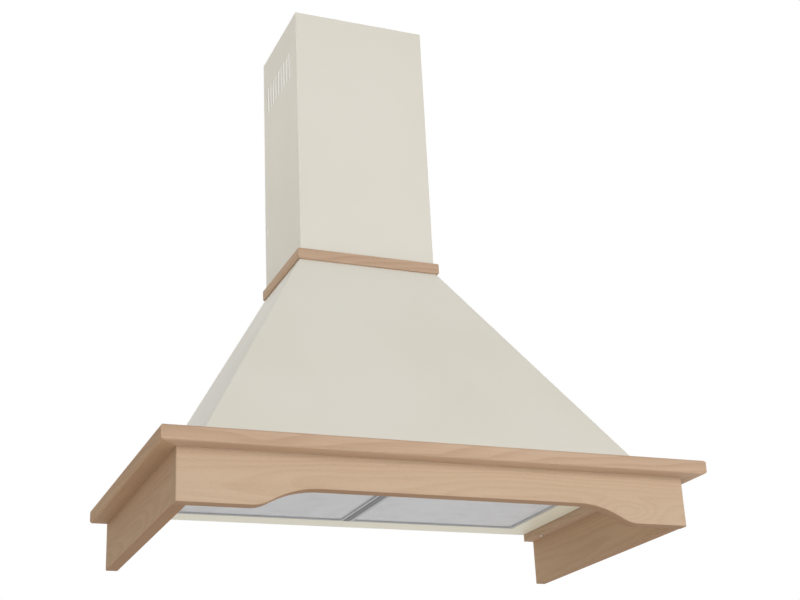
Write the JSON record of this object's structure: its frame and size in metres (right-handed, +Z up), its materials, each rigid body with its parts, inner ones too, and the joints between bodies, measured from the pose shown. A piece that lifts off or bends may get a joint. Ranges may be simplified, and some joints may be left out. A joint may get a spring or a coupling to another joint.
{
  "type": "wall chimney cooker hood",
  "caption": "Wall chimney cooker hood: sheet-steel pyramid canopy and chimney on a wooden cornice and arched apron, with hinged grease filters, blower, lamps and duct spigot.",
  "frame": {"origin": "on the wall plane, in the middle of the width, level with the cornice's top face", "axes": "+X to the right as seen from the room, +Y into the wall, +Z up"},
  "size_m": [1, 0.584, 1.1578],
  "materials": {
    "wood": "unfinished fine-grained light hardwood",
    "beige_paint": "satin powder coat, warm off-white",
    "zinc_sheet": "galvanised sheet",
    "zinc_screw": "zinc plated",
    "rail_grey": "dark grey satin",
    "filter_aluminium": "satin",
    "filter_mesh": "fine expanded mesh",
    "black_plastic": "moulded, fine texture",
    "grey_plastic": "moulded",
    "steel": "drawn",
    "motor_steel": "black lacquer",
    "chrome": "polished",
    "lamp_glass": "frosted",
    "board_white": "white",
    "control_plastic": "satin"
  },
  "bodies": {
    "hood": {"cornice_front": "wood", "cornice_left": "wood", "cornice_right": "wood", "apron_front": "wood", "apron_left": "wood", "apron_right": "wood", "trim_front": "wood", "trim_left": "wood", "trim_right": "wood", "canopy_shell": "beige_paint", "chimney_cover": "beige_paint", "base_panel": "beige_paint", "back_plate": "beige_paint", "base_frame": "beige_paint", "top_plate": "zinc_sheet", "blower_flange": "zinc_sheet", "scroll_side_left": "zinc_sheet", "scroll_side_right": "zinc_sheet", "motor_bracket": "zinc_sheet", "portal_screws": "zinc_screw", "plate_screws": "zinc_screw", "bracket_screws": "zinc_screw", "filter_rail": "rail_grey", "outlet_collar": "black_plastic", "scroll_band": "black_plastic", "inlet_ring_left": "black_plastic", "inlet_ring_right": "black_plastic", "cable_gland": "black_plastic", "control_housing": "black_plastic", "terminal_cover": "black_plastic", "terminal_box": "grey_plastic", "capacitor": "grey_plastic", "flap_rod": "steel", "lamp_housing_left": "steel", "lamp_housing_right": "steel", "motor": "motor_steel", "lamp_bezel_left": "chrome", "lamp_bezel_right": "chrome", "lamp_lens_left": "lamp_glass", "lamp_lens_right": "lamp_glass", "lamp_board_left": "board_white", "lamp_board_right": "board_white", "control_plate": "control_plastic"},
    "filter_left": {"filter_frame_left": "filter_aluminium", "filter_mesh_left": "filter_mesh", "latch_seat_left": "black_plastic"},
    "filter_right": {"filter_frame_right": "filter_aluminium", "filter_mesh_right": "filter_mesh", "latch_seat_right": "black_plastic"},
    "latch_left": {"filter_latch_left": "black_plastic"},
    "latch_right": {"filter_latch_right": "black_plastic"},
    "fan_rotor": {"impeller_disc": "zinc_sheet", "impeller_rings": "zinc_sheet", "impeller_blades": "zinc_sheet", "motor_shaft": "steel"},
    "flap_left": {"flap_left": "black_plastic"},
    "flap_right": {"flap_right": "black_plastic"},
    "speed_slider": {"speed_slider": "control_plastic"},
    "light_slider": {"light_slider": "control_plastic"}
  },
  "joints": [
    {"name": "filter_left_hinge", "type": "hinge", "parent": "hood", "child": "filter_left", "pos_m": [-0.188, -0.051, -0.01], "axis": [1, 0, 0], "range_deg": [0, 60]},
    {"name": "latch_left_slide", "type": "slide", "parent": "filter_left", "child": "latch_left", "axis": [0, 1, 0], "range_m": [0, 0.007], "stiffness_N_per_m": 200, "springref_m": -0.004},
    {"name": "flap_left_hinge", "type": "hinge", "parent": "hood", "child": "flap_left", "pos_m": [0, -0.117, 0.487], "axis": [0, 1, 0], "range_deg": [0, 75]},
    {"name": "filter_right_hinge", "type": "hinge", "parent": "hood", "child": "filter_right", "pos_m": [0.188, -0.051, -0.01], "axis": [1, 0, 0], "range_deg": [0, 60]},
    {"name": "latch_right_slide", "type": "slide", "parent": "filter_right", "child": "latch_right", "axis": [0, 1, 0], "range_m": [0, 0.007], "stiffness_N_per_m": 200, "springref_m": -0.004},
    {"name": "flap_right_hinge", "type": "hinge", "parent": "hood", "child": "flap_right", "pos_m": [0, -0.117, 0.487], "axis": [0, -1, 0], "range_deg": [0, 75]},
    {"name": "fan_spin", "type": "hinge", "parent": "hood", "child": "fan_rotor", "pos_m": [0, -0.1935, 0.345], "axis": [1, 0, 0], "continuous": true},
    {"name": "speed_slide", "type": "slide", "parent": "hood", "child": "speed_slider", "axis": [1, 0, 0], "range_m": [0, 0.024]},
    {"name": "light_slide", "type": "slide", "parent": "hood", "child": "light_slider", "axis": [1, 0, 0], "range_m": [0, 0.008]}
  ]
}
